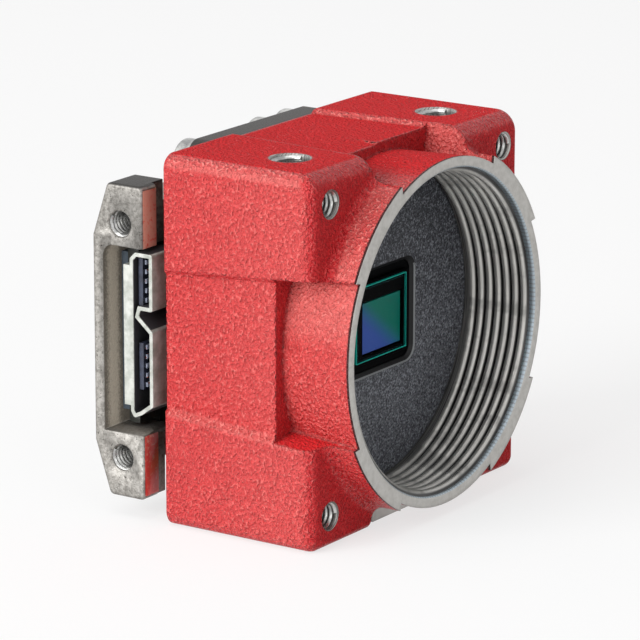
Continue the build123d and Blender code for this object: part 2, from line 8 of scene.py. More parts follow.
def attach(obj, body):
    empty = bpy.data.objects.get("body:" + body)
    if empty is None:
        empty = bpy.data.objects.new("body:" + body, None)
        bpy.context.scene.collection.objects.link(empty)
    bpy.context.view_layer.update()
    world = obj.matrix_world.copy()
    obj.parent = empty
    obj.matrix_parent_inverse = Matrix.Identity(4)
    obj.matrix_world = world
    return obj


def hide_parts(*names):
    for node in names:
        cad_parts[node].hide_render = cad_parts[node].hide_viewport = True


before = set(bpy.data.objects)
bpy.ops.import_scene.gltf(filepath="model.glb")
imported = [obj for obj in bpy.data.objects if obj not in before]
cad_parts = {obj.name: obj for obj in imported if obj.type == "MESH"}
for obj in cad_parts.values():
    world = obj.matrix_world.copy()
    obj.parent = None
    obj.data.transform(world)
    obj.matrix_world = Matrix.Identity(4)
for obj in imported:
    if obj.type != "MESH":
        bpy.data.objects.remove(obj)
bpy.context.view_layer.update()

# Every shader works in millimetres: depth runs back from the lens ring, height up from its axis
mm = 0.001
layout = {
    "ringDepth": -11.4,
    "axisHeight": 14.5,
    "half": 14.5,
    "barrelReach": 2.65,
    "lockHoleDepth": 20.2,
    "lockHoleMiddle": -0.6,
}


# Node helpers
class Wire:
    # A socket that takes part in arithmetic: each sign adds its Math node
    def __init__(self, tree, socket):
        self.tree = tree
        self.socket = socket

    def out(self, name):
        return Wire(self.tree, self.socket.node.outputs[name])

    def mathNode(self, operation, first, second):
        return self.tree.node("ShaderNodeMath", {"operation": operation}, {0: first, 1: second})

    def __add__(self, other):
        return self.mathNode("ADD", self, other)

    def __radd__(self, other):
        return self.mathNode("ADD", other, self)

    def __sub__(self, other):
        return self.mathNode("SUBTRACT", self, other)

    def __rsub__(self, other):
        return self.mathNode("SUBTRACT", other, self)

    def __mul__(self, other):
        return self.mathNode("MULTIPLY", self, other)

    def __rmul__(self, other):
        return self.mathNode("MULTIPLY", other, self)

    def __truediv__(self, other):
        return self.mathNode("DIVIDE", self, other)

    def __rtruediv__(self, other):
        return self.mathNode("DIVIDE", other, self)

    def __abs__(self):
        return self.mathNode("ABSOLUTE", self, 0.0)


class NodeTree:
    # One method makes every node: its settings go in first, then its inputs
    def __init__(self, tree):
        self.tree = tree

    def node(self, kind, settings=None, inputs=None, output=0):
        made = self.tree.nodes.new(kind)
        for name, value in (settings or {}).items():
            setattr(made, name, value)
        for name, value in (inputs or {}).items():
            if isinstance(value, Wire):
                self.tree.links.new(value.socket, made.inputs[name])
            else:
                made.inputs[name].default_value = value
        return Wire(self, made.outputs[output]) if len(made.outputs) else None

    def either(self, first, second):
        return self.node("ShaderNodeMath", {"operation": "MAXIMUM"}, {0: first, 1: second})

    def seenDirectly(self):
        # 1 for what the camera sees itself, mirrored or through glass, 0 for what only sheds light
        path = self.node("ShaderNodeLightPath")
        seen = path.out("Is Camera Ray")
        for ray in ("Is Glossy Ray", "Is Transmission Ray"):
            seen = self.either(seen, path.out(ray))
        return seen


class Finish(NodeTree):
    # A material, with its point in millimetres at hand
    def __init__(self, name):
        self.material = bpy.data.materials.new(name)
        self.material.use_nodes = True
        super().__init__(self.material.node_tree)
        self.tree.nodes.clear()
        here = self.node("ShaderNodeTexCoord", output="Object")
        moved = self.node(
            "ShaderNodeVectorMath",
            {"operation": "MULTIPLY_ADD"},
            {0: here, 1: (1000, 1000, 1000), 2: (0, -layout["ringDepth"], -layout["axisHeight"])},
        )
        self.point = moved
        parts = self.node("ShaderNodeSeparateXYZ", {}, {0: moved})
        self.x = parts.out("X")
        self.depth = parts.out("Y")
        self.height = parts.out("Z")

    def faces(self, direction, normal=None):
        # how far the surface, or a softened normal, looks along a direction, -1 to 1
        side = normal or self.node("ShaderNodeNewGeometry", output="Normal")
        inputs = {0: side, 1: direction}
        return self.node("ShaderNodeVectorMath", {"operation": "DOT_PRODUCT"}, inputs, output="Value")

    def turnRound(self):
        # angle round the lens axis in radians, 0 on the right, pi / 2 at the top
        return self.node("ShaderNodeMath", {"operation": "ARCTAN2"}, {0: self.height, 1: self.x})

    def wave(self, value):
        return self.node("ShaderNodeMath", {"operation": "SINE"}, {0: value})

    def between(self, value, low, high):
        # 0 below low, 1 above high, smooth on the way; low may be the larger
        return self.node(
            "ShaderNodeMapRange",
            {"interpolation_type": "SMOOTHSTEP"},
            {"Value": value, "From Min": low, "From Max": high},
        )

    def below(self, value, limit, fade):
        # 0 past a limit, 1 below it from the end of a narrow fade on
        return self.between(value, limit, limit - fade)

    def above(self, value, limit, fade):
        # 0 up to a limit, 1 past it from the end of a narrow fade on
        return self.between(value, limit, limit + fade)

    def radius(self, first, second):
        squares = first * first + second * second
        return self.node("ShaderNodeMath", {"operation": "POWER"}, {0: squares, 1: 0.5})

    def spread(self, stretch, turn=(0, 0, 0), shift=(0, 0, 0)):
        # the point of a pattern that is drawn out, turned or moved
        inputs = {"Vector": self.point, "Scale": stretch, "Rotation": turn, "Location": shift}
        return self.node("ShaderNodeMapping", {}, inputs)

    def noise(
        self,
        scale,
        detail=2.0,
        rough=0.5,
        distortion=0.0,
        stretch=(1, 1, 1),
        turn=(0, 0, 0),
        shift=(0, 0, 0),
    ):
        inputs = {
            "Vector": self.spread(stretch, turn, shift),
            "Scale": scale,
            "Detail": detail,
            "Roughness": rough,
            "Distortion": distortion,
        }
        return self.node("ShaderNodeTexNoise", {}, inputs)

    def flecks(self, scale, smooth):
        # how far the point is from the middle of the nearest fleck
        inputs = {"Vector": self.point, "Scale": scale, "Smoothness": smooth}
        return self.node("ShaderNodeTexVoronoi", {"feature": "SMOOTH_F1"}, inputs)

    def seams(self, scale, stretch):
        # how far the point is from the nearest line between cells
        inputs = {"Vector": self.spread(stretch), "Scale": scale}
        return self.node("ShaderNodeTexVoronoi", {"feature": "DISTANCE_TO_EDGE"}, inputs)

    def blend(self, factor, first, second):
        # colours from first to second
        settings = {"data_type": "RGBA", "clamp_factor": True}
        return self.node("ShaderNodeMix", settings, {0: factor, 6: first, 7: second}, output=2)

    def lift(self, height, strength, relief, normal=None):
        inputs = {"Height": height, "Strength": strength, "Distance": relief * mm}
        if normal:
            inputs["Normal"] = normal
        return self.node("ShaderNodeBump", {}, inputs)

    def soften(self, radius):
        return self.node("ShaderNodeBevel", {"samples": 6}, {"Radius": radius * mm})

    def surface(self, **sockets):
        named = {name.replace("_", " "): value for name, value in sockets.items()}
        shader = self.node("ShaderNodeBsdfPrincipled", {}, named)
        self.node("ShaderNodeOutputMaterial", {}, {"Surface": shader})
        return self.material


def rgb(red, green, blue):
    # screen values 0-255 to the renderer's linear colour
    def linear(value):
        share = value / 255
        return share / 12.92 if share <= 0.04045 else ((share + 0.055) / 1.055) ** 2.4

    return (linear(red), linear(green), linear(blue), 1.0)


# Red wrinkle coat on the die-cast housing, bare metal where it was machined after coating
casting = {
    "ringInner": 12.9,
    "boreDepth": 8.0,
    "ringFace": 0.03,
    "cloudDepth": 0.05,
    "leadInDepth": 0.62,
    "outlineDepth": 0.26,
    "frontHoleSpread": 12.0,
    "frontHole": 1.13,
    "frontHoleEnd": 7.0,
    "topHoleSpread": 10.0,
    "topHole": 1.64,
    "topHoleDepth": 7.65,
    "padHalfWidth": 4.82,
    "padFront": 3.58,
    "padRear": 12.62,
    "padHeight": -13.02,
    "roomHalf": 12.45,
    "roomDepth": 7.45,
    "sheenFade": (15.0, 4.0),
    "grainPerMm": 4.9,
    "cloudsPerMm": 1.4,
    "edge": 0.5,
    "maskLine": 0.02,
    "boreLine": 0.03,
    "softLine": 0.05,
    "wideLine": 0.1,
    "relief": 0.64,
    "markRelief": 0.02,
    "rough": 0.36,
    "topRough": 0.6,
    "frontRough": 0.5,
    "shine": 0.38,
    "bareMetallic": 0.85,
    "ticks": 230,
    "coat": rgb(200, 34, 38),
    "coatDeep": rgb(184, 20, 28),
    "coatHighlight": rgb(244, 146, 138),
    "coatTopLitTone": rgb(222, 26, 32),
    "litSide": (-0.62, -0.12, 0.775),
    "crownHighlightSide": (-0.93, -0.05, 0.37),
    "metal": rgb(186, 184, 180),
    "metalDark": rgb(110, 108, 106),
    "metalBlue": rgb(178, 190, 198),
    "metalCloud": rgb(150, 147, 142),
    "outline": rgb(58, 16, 16),
}


def coatGrain(look):
    # fine leather-like wrinkles, drawn out a little on the slant
    slant = (0.6, 0.4, 0.5)
    wide = look.noise(casting["grainPerMm"], 1.0, 0.4, 0.2, (1, 0.9, 0.75), slant)
    fine = look.noise(casting["grainPerMm"] * 2.1, 1.0, 0.5, 0.2, (1, 0.9, 0.8), slant, (3, 7, 5))
    return wide * 0.8 + fine * 0.2


def turnedMarks(look, across):
    # marks of the lathe, which run round the lens axis
    return look.noise(1.0, 3.0, 0.6, 0.0, (across, 14, across))


def nearHole(look, first, second, spreadFirst, spreadSecond, size):
    # 1 within the holes that are mirrored about both axes, 0 past their size
    away = look.radius(abs(first) - spreadFirst, abs(second) - spreadSecond)
    return look.below(away, size, casting["maskLine"])


def bareAreas(look):
    # 1 where the casting is bare, and 1 in the bore alone
    line, soft, wide = casting["maskLine"], casting["softLine"], casting["wideLine"]
    face = look.below(look.depth, casting["ringFace"], line)
    bore = look.below(look.radius(look.x, look.height), casting["ringInner"], casting["boreLine"])
    bore = bore * look.below(look.depth, casting["boreDepth"], soft)
    spread = casting["frontHoleSpread"]
    front = nearHole(look, look.x, look.height, spread, spread, casting["frontHole"])
    front = front * look.below(look.depth, casting["frontHoleEnd"], wide)
    fromHoles = look.depth - casting["topHoleDepth"]
    top = nearHole(look, look.x, fromHoles, casting["topHoleSpread"], 0, casting["topHole"])
    room = look.below(look.either(abs(look.x), abs(look.height)), casting["roomHalf"], soft)
    room = room * look.above(look.depth, casting["roomDepth"], wide)
    pad = look.below(look.height, casting["padHeight"], line)
    pad = pad * look.below(abs(look.x), casting["padHalfWidth"], line)
    pad = pad * look.between(look.depth, casting["padFront"] - 2 * line, casting["padFront"])
    pad = pad * look.between(look.depth, casting["padRear"] + line, casting["padRear"])
    bare = face
    for area in (bore, front, top, room, pad):
        bare = look.either(bare, area)
    return bare, bore


def coatColour(look, grain, eased, level, ahead):
    # the top is plainer, with its own red painted for how the light falls on it and fewer painted
    # highlights; rounded edges towards the upper left get a painted highlight
    coat = look.blend(look.between(grain, 0.38, 0.62), casting["coatDeep"], casting["coat"])
    coat = look.blend(level * 0.8, coat, casting["coatTopLitTone"])
    # painted highlights are cut back on the top and the front
    highlightShare = 1 - look.either(level, ahead) * 0.8
    # painted glints on the raised parts of the grain
    grainGlint = look.between(grain, 0.52, 0.72)
    # painted highlight on rounded edges that face the upper left, where the light comes from
    glow = look.between(look.faces(casting["litSide"], eased), 0.9, 1.0)
    # painted highlight on the barrel's flare where it looks left and a little up
    crownHighlight = look.between(look.faces(casting["crownHighlightSide"], eased), 0.95, 1.0)
    # painted sheen: the sides that look left are a little paler towards the front
    left = look.between(look.faces((-1, 0, 0), eased), 0.7, 1.0)
    sheen = left * (0.08 + look.between(look.depth, *casting["sheenFade"]) * 0.06)
    # all the painted highlights above, in a pale pink
    paintedHighlight = grainGlint * 0.3 + sheen + crownHighlight * 0.25 + glow * (0.22 + grainGlint * 0.5)
    return look.blend(paintedHighlight * highlightShare, coat, casting["coatHighlight"])


def machinedColour(look, marks, bore):
    # fine cutter ticks on the lead-in of the bore, cloudy satin on the ring's face
    metal = look.blend(look.between(marks, 0.35, 0.65), casting["metalDark"], casting["metal"])
    tick = look.between(look.wave(look.turnRound() * casting["ticks"]), 0.2, 0.8)
    leadIn = bore * look.below(look.depth, casting["leadInDepth"], casting["softLine"])
    metal = look.blend(leadIn, metal, look.blend(tick * 0.45, casting["metalBlue"], casting["metalDark"]))
    cloud = look.between(look.noise(casting["cloudsPerMm"], 4.0, 0.7), 0.35, 0.7)
    satin = look.blend(cloud * 0.5, casting["metal"], casting["metalCloud"])
    return look.blend(look.between(look.depth, casting["cloudDepth"], 0.0), metal, satin)


def housingFinish():
    look = Finish("redWrinkleCoat")
    bare, bore = bareAreas(look)
    grain = coatGrain(look)
    marks = turnedMarks(look, 0.2)
    eased = look.soften(casting["edge"])
    level = look.between(look.faces((0, 0, 1), eased), 0.93, 0.99)
    ahead = look.between(look.faces((0, -1, 0), eased), 0.8, 0.97)
    coat = coatColour(look, grain, eased, level, ahead)
    outline = look.below(look.depth, casting["outlineDepth"], casting["wideLine"]) * (1 - bare)
    coat = look.blend(outline, coat, casting["outline"])
    metal = machinedColour(look, marks, bore)
    normal = look.lift(grain * (1 - bare), 1.0, casting["relief"], eased)
    normal = look.lift(marks * bare, 0.35, casting["markRelief"], normal)
    plain = look.either(level * casting["topRough"], ahead * casting["frontRough"])
    return look.surface(
        Base_Color=look.blend(bare, coat, metal),
        Metallic=bare * casting["bareMetallic"],
        Roughness=casting["rough"] + plain * (1 - bare * 0.8),
        Normal=normal,
        Specular_IOR_Level=casting["shine"],
    )


# Rear frame: satin cast metal, with a painted reflection on the milled strips of the lugs and painted shade
# in the gap between them
cast = {
    "gapLow": -7.8,
    "gapHigh": 6.9,
    "gapLine": 0.1,
    "wallSide": (-14.45, -14.3),
    "wallBack": (22.65, 22.55),
    "litMiddleStart": (-14.4, -13.3),
    "litMiddleEnd": (-12.0, -12.9),
    "topFade": (11.5, 11.66),
    "stripFade": (18.13, 18.11),
    "pitsPerMm": 5.5,
    "mottlePerMm": 2.6,
    "finePerMm": 9.0,
    "wallPerMm": 6.0,
    "edge": 0.12,
    "relief": 0.1,
    "light": rgb(158, 155, 150),
    "shade": rgb(118, 115, 110),
    "pit": rgb(70, 67, 62),
    # painted shade on the wall of the gap
    "dark": rgb(136, 128, 115),
    "gapDeepShade": rgb(72, 66, 57),
    "topDark": rgb(54, 52, 50),
    "reflectionPale": rgb(240, 176, 154),
    "reflectionRed": rgb(236, 84, 78),
    "notchLeft": -11.2,
    "notchRight": -4.6,
    "footNotchRight": -6.6,
    "notchHeight": 10.1,
    "notchFront": 18.0,
    "notchRear": 22.9,
    "notchEnd": 14.0,
    "sharpAngle": math.radians(25),
}


def frameFinish():
    look = Finish("castFrameMetal")
    pits = look.noise(cast["pitsPerMm"], 2.0, 0.6, 0.4)
    mottle = look.noise(cast["mottlePerMm"], 4.0, 0.65)
    fine = look.noise(cast["finePerMm"], 2.0, 0.6)
    line = cast["gapLine"]
    # painted shade: the wall of the gap between the lugs is dark and less metallic
    shadedGapWall = look.between(look.height, cast["gapLow"] - line, cast["gapLow"] + line)
    shadedGapWall = shadedGapWall * look.between(look.height, cast["gapHigh"] + line, cast["gapHigh"] - line)
    shadedGapWall = shadedGapWall * look.between(look.x, *cast["wallSide"]) * look.between(look.depth, *cast["wallBack"])
    top = look.between(look.height, *cast["topFade"])
    colour = look.blend(look.between(mottle, 0.35, 0.7), cast["light"], cast["shade"])
    colour = look.blend(look.between(pits, 0.38, 0.28), colour, cast["pit"])
    # painted shade on the wall of the gap, paler in its middle
    middle = look.between(look.x, *cast["litMiddleStart"]) * look.between(look.x, *cast["litMiddleEnd"])
    cloud = look.noise(cast["wallPerMm"], 3.0, 0.6)
    wall = look.between(cloud * 0.55 + middle * 0.4, 0.26, 0.72)
    colour = look.blend(shadedGapWall, colour, look.blend(wall, cast["gapDeepShade"], cast["dark"]))
    colour = look.blend(top, colour, cast["topDark"])
    # painted reflection: the milled strips of the lugs are painted with the red of the housing in front of
    # them
    strip = look.between(look.depth, *cast["stripFade"])
    drift = mottle + look.height * -0.012
    paintedReflection = look.blend(look.between(drift, 0.4, 0.62), cast["reflectionPale"], cast["reflectionRed"])
    colour = look.blend(strip, colour, paintedReflection)
    rough = 0.42 + fine * 0.2 - strip * 0.2 + shadedGapWall * 0.2
    height = fine * 0.4 + pits * 0.6
    normal = look.lift(height * (1 - strip), 0.6, cast["relief"], look.soften(cast["edge"]))
    metallic = 0.85 - shadedGapWall * 0.6 - top * 0.3 - strip * 0.7
    return look.surface(Base_Color=colour, Metallic=metallic, Roughness=rough, Normal=normal)


def boxSkin(low, high):
    # a plain box mesh between two corners, in mm from the ring and the axis
    grid = bmesh.new()
    bmesh.ops.create_cube(grid, size=1.0)
    shift = Vector((0, layout["ringDepth"], layout["axisHeight"]))
    for vert in grid.verts:
        spot = [near if part < 0 else far for part, near, far in zip(vert.co, low, high)]
        vert.co = (Vector(spot) + shift) * mm
    mesh = bpy.data.meshes.new("cutter")
    grid.to_mesh(mesh)
    grid.free()
    return mesh


def notchedFrame():
    # the frame with the notch that ends each lug, cut from a merged copy of its CAD mesh
    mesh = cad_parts["rear_frame"].data.copy()
    grid = bmesh.new()
    grid.from_mesh(mesh)
    bmesh.ops.remove_doubles(grid, verts=grid.verts, dist=1e-7)
    grid.to_mesh(mesh)
    grid.free()
    left, front, rear = cast["notchLeft"], cast["notchFront"], cast["notchRear"]
    top = boxSkin((left, front, cast["notchHeight"]), (cast["notchRight"], rear, cast["notchEnd"]))
    foot = boxSkin((left, front, -cast["notchEnd"]), (cast["footNotchRight"], rear, -cast["notchHeight"]))
    whole = bpy.data.objects.new("frameCopy", mesh)
    bpy.context.collection.objects.link(whole)
    cutters = []
    for cutterMesh in (top, foot):
        cutter = bpy.data.objects.new("cutter", cutterMesh)
        bpy.context.collection.objects.link(cutter)
        cut = whole.modifiers.new("cut", "BOOLEAN")
        cut.object = cutter
        cut.operation = "DIFFERENCE"
        cut.solver = "EXACT"
        cutters.append(cutter)
    settled = whole.evaluated_get(bpy.context.evaluated_depsgraph_get())
    carved = bpy.data.meshes.new_from_object(settled)
    for spare in [whole] + cutters:
        bpy.data.objects.remove(spare)
    carved.materials.clear()
    carved.materials.append(frameFinish())
    carved.shade_smooth()
    carved.set_sharp_from_angle(angle=cast["sharpAngle"])
    piece = bpy.data.objects.new("notchedFrame", carved)
    bpy.context.collection.objects.link(piece)
    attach(piece, "root")
    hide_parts("rear_frame")
    print("frame cut,", len(carved.polygons), "faces")


# Mask plate: black satin paint with a fine orange-peel
mask = {
    "base": rgb(88, 90, 96),
    "fleck": rgb(146, 149, 156),
    "deep": rgb(38, 39, 44),
    "rim": rgb(8, 8, 10),
    "rimHighlight": rgb(138, 140, 142),
    "shadeFade": (9.0, -9.0),
    "litFade": (6.62, 6.58),
    "grainPerMm": 6.4,
    "edge": 0.03,
    "relief": 0.1,
}


def maskFinish():
    look = Finish("blackMaskPaint")
    grain = look.noise(mask["grainPerMm"], 1.5, 0.5, 0.3)
    # painted shade under the top of the bore, painted light towards the lower right
    low = look.between(look.height - look.x * 0.35, *mask["shadeFade"])
    colour = look.blend(look.between(grain - 0.06 + low * 0.14, 0.36, 0.6), mask["deep"], mask["base"])
    colour = look.blend(look.between(grain - 0.04 + low * 0.08, 0.56, 0.72) * 0.8, colour, mask["fleck"])
    # the slanted rim of the window is black above and left, with a painted highlight below and right
    slant = look.between(look.faces((0, -1, 0)), 0.9, 0.8)
    lit = look.between(look.faces((-0.7, 0, 0.7)), 0.2, 0.4) * look.between(look.depth, *mask["litFade"])
    colour = look.blend(slant, colour, look.blend(lit, mask["rim"], mask["rimHighlight"]))
    normal = look.lift(grain * (1 - slant), 0.9, mask["relief"], look.soften(mask["edge"]))
    return look.surface(Base_Color=colour, Roughness=0.5, Normal=normal, Specular_IOR_Level=0.3)


# Sensor: active area shot with colour, black border below the glass, painted teal glint along its edge
sensor = {
    "dieX": 0.85,
    "dieZ": -0.4,
    "width": 5.3,
    "height": 4.0,
    "glassX": 0.4,
    "glassZ": 0.1,
    "glassWidth": 6.95,
    "glassHeight": 5.95,
    "lineWidth": 0.055,
    "lineFade": 0.03,
    "lineGap": 0.2,
    "darkLine": (0.045, 0.02),
    "green": rgb(2, 114, 98),
    "blue": rgb(54, 86, 170),
    "black": rgb(2, 2, 3),
    "blackPale": rgb(6, 7, 8),
    "line": rgb(40, 188, 172),
    "glintInnerDark": rgb(8, 56, 58),
}


def dieFinish():
    look = Finish("sensorDie")
    across = (look.x - sensor["dieX"]) / sensor["width"] + 0.5
    rise = (look.height - sensor["dieZ"]) / sensor["height"] + 0.5
    shift = look.between(across * 0.5 + rise * 0.5, 0.28, 0.62)
    colour = look.blend(shift, sensor["blue"], sensor["green"])
    return look.surface(Base_Color=colour, Roughness=0.3, Specular_IOR_Level=0.1)


def packageFinish():
    look = Finish("sensorPackage")
    grain = look.noise(12.0, 2.0)
    colour = look.blend(grain, sensor["black"], sensor["blackPale"])
    return look.surface(Base_Color=colour, Roughness=0.5, Specular_IOR_Level=0.02)


def glassFinish():
    look = Finish("sensorGlass")
    across = abs(look.x - sensor["glassX"]) - sensor["glassWidth"] / 2
    up = abs(look.height - sensor["glassZ"]) - sensor["glassHeight"] / 2
    rim = look.either(across, up)
    # painted glint: a teal line along the edge of the glass, with a dark line just inside it
    edge = look.between(rim, -sensor["lineWidth"] - sensor["lineFade"], -sensor["lineWidth"])
    inner = look.between(abs(rim + sensor["lineGap"]), *sensor["darkLine"])
    colour = look.blend(inner, look.blend(edge, sensor["black"], sensor["line"]), sensor["glintInnerDark"])
    see = look.either(edge, inner) * 0.86 + 0.03
    return look.surface(Base_Color=colour, Roughness=0.06, Alpha=see, Specular_IOR_Level=0.02)


# Window of the mask plate and the sensor in it, all in mm from the ring and the lens axis
window = {
    "plateFront": 6.5,
    "ledge": 6.88,
    "plateRear": 7.8,
    "boreRadius": 12.66,
    "seatRadius": 12.35,
    "width": 10.2,
    "height": 7.8,
    "round": 0.9,
    "slant": 0.35,
    "sideGap": 0.5,
    "topGap": 0.65,
    "packageRear": 8.4,
    "packageEdge": 0.1,
    "packageRound": 0.3,
    "cutRound": 0.05,
    "dieRound": 0.02,
    "sealPlay": 0.03,
    "pocketPlay": 0.15,
    "sealFront": 6.95,
    "sealRear": 7.4,
    "glassFront": 6.3,
    "glassRear": 6.55,
    "dieFront": 6.65,
    "dieRear": 6.85,
}


def roundedLoop(width, height, radius, depth, x=0.0, z=0.0, steps=8, sideSteps=16):
    # a rectangle with round corners, as points (x, depth, height); its straight sides are divided too
    corners = []
    for corner, (right, up) in enumerate(((1, 1), (-1, 1), (-1, -1), (1, -1))):
        arc = []
        for step in range(steps + 1):
            angle = math.radians(90) * (corner + step / steps)
            across = x + right * (width / 2 - radius) + radius * math.cos(angle)
            arc.append(Vector((across, depth, z + up * (height / 2 - radius) + radius * math.sin(angle))))
        corners.append(arc)
    points = []
    for arc, following in zip(corners, corners[1:] + corners[:1]):
        points += arc
        points += [arc[-1].lerp(following[0], step / sideSteps) for step in range(1, sideSteps)]
    return points


def circleLoop(radius, depth, guide):
    # a circle with its points in the directions of a guide loop's
    angles = [math.atan2(rise, across) for across, _, rise in guide]
    return [(radius * math.cos(angle), depth, radius * math.sin(angle)) for angle in angles]


def skinLoops(name, loops, look, stands, closed=False):
    # a solid skin over a row of loops: its ends are capped, or meet when it is closed
    count = len(loops[0])
    grid = bmesh.new()
    rows = []
    for loop in loops:
        spots = [(x, depth + layout["ringDepth"], rise + layout["axisHeight"]) for x, depth, rise in loop]
        rows.append([grid.verts.new(Vector(spot) * mm) for spot in spots])
    pairs = list(zip(rows, rows[1:]))
    if closed:
        pairs.append((rows[-1], rows[0]))
    else:
        grid.faces.new(rows[0])
        grid.faces.new(rows[-1])
    for first, second in pairs:
        for here in range(count):
            after = (here + 1) % count
            grid.faces.new((first[here], first[after], second[after], second[here]))
    bmesh.ops.recalc_face_normals(grid, faces=grid.faces)
    mesh = bpy.data.meshes.new(name)
    grid.to_mesh(mesh)
    grid.free()
    mesh.materials.append(look)
    piece = bpy.data.objects.new(name, mesh)
    bpy.context.collection.objects.link(piece)
    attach(piece, "root")
    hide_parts(stands)
    return piece


def sensorPieces():
    size = window
    slant = size["slant"]
    inner = (size["width"], size["height"], size["round"])
    opened = (size["width"] + 2 * slant, size["height"] + 2 * slant, size["round"] + slant)
    front = roundedLoop(*opened, size["plateFront"])
    plate = [
        front,
        roundedLoop(*inner, size["plateFront"] + slant),
        roundedLoop(*inner, size["plateRear"]),
        circleLoop(size["seatRadius"], size["plateRear"], front),
        circleLoop(size["seatRadius"], size["ledge"], front),
        circleLoop(size["boreRadius"], size["ledge"], front),
        circleLoop(size["boreRadius"], size["plateFront"], front),
    ]
    skinLoops("maskPlate", plate, maskFinish(), "mask_plate", closed=True)

    wide = size["width"] - 2 * size["sideGap"]
    high = size["height"] - 2 * size["topGap"]
    edge = size["packageEdge"]
    corner = size["packageRound"]
    cutPlay = 2 * size["pocketPlay"]
    dieSpot = (sensor["dieX"], sensor["dieZ"])
    pocket = (sensor["width"] + cutPlay, sensor["height"] + cutPlay, size["cutRound"])
    package = [
        roundedLoop(wide, high, corner, size["packageRear"]),
        roundedLoop(wide, high, corner, size["plateFront"] + edge),
        roundedLoop(wide - 2 * edge, high - 2 * edge, corner - edge, size["plateFront"]),
        roundedLoop(*pocket, size["plateFront"], *dieSpot),
        roundedLoop(*pocket, size["dieRear"], *dieSpot),
    ]
    skinLoops("sensorPackage", package, packageFinish(), "sensor_package")
    play = size["sealPlay"]
    seal = (size["width"] - 2 * play, size["height"] - 2 * play, size["round"] - play)
    glass = (sensor["glassWidth"], sensor["glassHeight"], size["cutRound"])
    die = (sensor["width"], sensor["height"], size["dieRound"])
    glassSpot = (sensor["glassX"], sensor["glassZ"])
    blocks = (
        ("sensorSeal", seal, "seal", (0, 0), packageFinish(), "seal", "window_seal"),
        ("sensorGlass", glass, "glass", glassSpot, glassFinish(), "lid_glass", "sensor_lid"),
        ("sensorDie", die, "die", dieSpot, dieFinish(), "silicon", "sensor_die"),
    )
    for name, outline, ends, spot, look, slotName, stands in blocks:
        loops = [roundedLoop(*outline, size[ends + end], *spot) for end in ("Front", "Rear")]
        skinLoops(name, loops, look, stands)
    print("sensor in its window")


# Boards: green solder mask over fine copper tracks, with painted shade below the socket
board = {
    "mask": rgb(18, 62, 46),
    "maskLight": rgb(34, 96, 66),
    "socketShade": rgb(30, 32, 28),
    "socketShadeFade": (-9.0, -9.6),
    "trackFade": (0.05, 0.03),
    "weavePerMm": 14.0,
    "relief": 0.03,
}


def boardFinish():
    look = Finish("solderMask")
    track = look.between(look.seams(0.9, (1, 0.05, 1)), *board["trackFade"])
    weave = look.noise(board["weavePerMm"], 1.0)
    colour = look.blend(track * 0.8, board["mask"], board["maskLight"])
    colour = look.blend(weave * 0.25, colour, board["maskLight"])
    # painted shade below the socket
    colour = look.blend(look.between(look.x, *board["socketShadeFade"]), colour, board["socketShade"])
    normal = look.lift(track * 0.6 + weave * 0.15, 0.5, board["relief"])
    return look.surface(Base_Color=colour, Roughness=0.32, Normal=normal)


# Small parts: the two close tones of each finish, with how rough and how metallic it is
smallParts = {
    "screwSteel": {"light": rgb(205, 205, 202), "dark": rgb(150, 150, 150), "rough": 0.3, "metallic": 1.0},
    "spacerBrass": {"light": rgb(196, 170, 112), "dark": rgb(150, 124, 76), "rough": 0.35, "metallic": 1.0},
    "pinPlating": {"light": rgb(226, 190, 110), "dark": rgb(190, 150, 80), "rough": 0.25, "metallic": 1.0},
    "connectorPlastic": {"light": rgb(30, 30, 33), "dark": rgb(22, 22, 24), "rough": 0.45},
    "tonguePlastic": {"light": rgb(54, 60, 78), "dark": rgb(34, 36, 48), "rough": 0.4},
    "headerPlastic": {"light": rgb(210, 206, 194), "dark": rgb(190, 184, 168), "rough": 0.5},
    "coilFerrite": {"light": rgb(60, 60, 62), "dark": rgb(44, 44, 47), "rough": 0.5},
    "capacitorCeramic": {"light": rgb(150, 118, 84), "dark": rgb(122, 92, 64), "rough": 0.4},
    "thermalPad": {"light": rgb(92, 104, 116), "dark": rgb(78, 90, 102), "rough": 0.75},
    "chipMould": {
        "light": rgb(36, 36, 38), "dark": rgb(28, 28, 30), "rough": 0.55, "grainPerMm": 14.0, "bump": 0.5,
    },
}
smallRelief = 0.03
smallEdge = 0.06


def plainFinish(name, light, dark, rough, metallic=0.0, grainPerMm=8.0, bump=0.3):
    # a moulded, ground or plated surface with a fine grain and eased edges
    look = Finish(name)
    wide = look.noise(grainPerMm / 5, 3.0, 0.6)
    fine = look.noise(grainPerMm, 2.0, 0.5)
    colour = look.blend(look.between(wide, 0.3, 0.7), light, dark)
    normal = look.lift(fine, bump, smallRelief, look.soften(smallEdge))
    rough = rough + (fine - 0.5) * 0.15
    return look.surface(Base_Color=colour, Metallic=metallic, Roughness=rough, Normal=normal)


# Socket: where the painted shade inside its shell lies, in mm from the ring and the axis, and its tones
socket = {
    "lip": -14.3,
    "front": 17.5,
    "rear": 19.35,
    "lipLine": 0.06,
    "mouthLine": 0.02,
    "edge": 0.1,
    "relief": 0.03,
    "rough": 0.36,
    "light": rgb(198, 200, 194),
    "shade": rgb(156, 160, 152),
    # painted shade inside the shell
    "dark": rgb(60, 59, 62),
    "blade": rgb(206, 214, 236),
    "fleck": rgb(214, 112, 64),
}


def contactFinish():
    # pale tinned blades with copper-coloured flecks
    look = Finish("contactPlating")
    fleck = look.between(look.flecks(2.6, 0.2), 0.3, 0.18)
    colour = look.blend(fleck, socket["blade"], socket["fleck"])
    return look.surface(Base_Color=colour, Metallic=0.3, Roughness=0.3)


